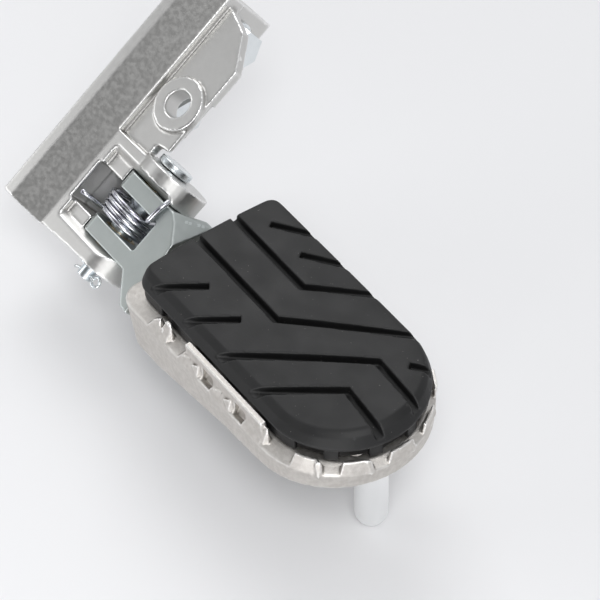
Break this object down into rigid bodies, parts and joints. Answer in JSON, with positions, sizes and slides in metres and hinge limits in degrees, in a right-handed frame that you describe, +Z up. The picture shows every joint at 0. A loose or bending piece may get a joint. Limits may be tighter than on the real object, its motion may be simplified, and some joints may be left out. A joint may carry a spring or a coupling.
{
  "type": "motorcycle footpeg",
  "caption": "Folding rider's footpeg with a toothed cast platform and a rubber tread pad, hinged on a clevis pin in its hanger bracket with a return spring.",
  "frame": {"origin": "on the hanger's flat face against the motorcycle's frame, half way between the two frame bolts", "axes": "+X outward along the peg, +Y forward on the motorcycle, +Z up; the pivot pin's axis leans forward and up by 34 degrees in the YZ plane"},
  "size_m": [0.1675, 0.0905, 0.0871],
  "materials": {
    "cast_aluminium": "as cast, lightly brushed on the outer faces",
    "cast_stainless": "bead-blasted casting, brighter on the worn teeth",
    "zinc_plate": "satin zinc plating",
    "tread_rubber": "moulded, satin black",
    "spring_steel": "glossy plated wire",
    "bush_bronze": "plain sintered"
  },
  "bodies": {
    "bracket": {"hanger_bracket": "cast_aluminium", "pivot_pin": "zinc_plate", "pivot_washer": "zinc_plate", "split_pin": "zinc_plate", "return_spring": "spring_steel", "frame_bolt_rear": "zinc_plate", "frame_bolt_front": "zinc_plate", "frame_washer_rear": "zinc_plate", "frame_washer_front": "zinc_plate"},
    "footpeg": {"hinge_adapter": "zinc_plate", "pivot_bush_rear": "bush_bronze", "pivot_bush_front": "bush_bronze", "peg_casting": "cast_stainless", "tread_pad": "tread_rubber", "adapter_screw_inner": "zinc_plate", "adapter_screw_outer": "zinc_plate", "adapter_washer_inner": "zinc_plate", "adapter_washer_outer": "zinc_plate", "feeler_bolt": "zinc_plate"}
  },
  "joints": [
    {"name": "peg_fold", "type": "hinge", "parent": "bracket", "child": "footpeg", "pos_m": [0.0351, -0.04179, -0.01673], "axis": [0, -0.829, -0.5592], "range_deg": [0, 80], "stiffness_Nm_per_rad": 0.3, "springref_deg": -68.75, "deforming": ["return_spring"]}
  ]
}
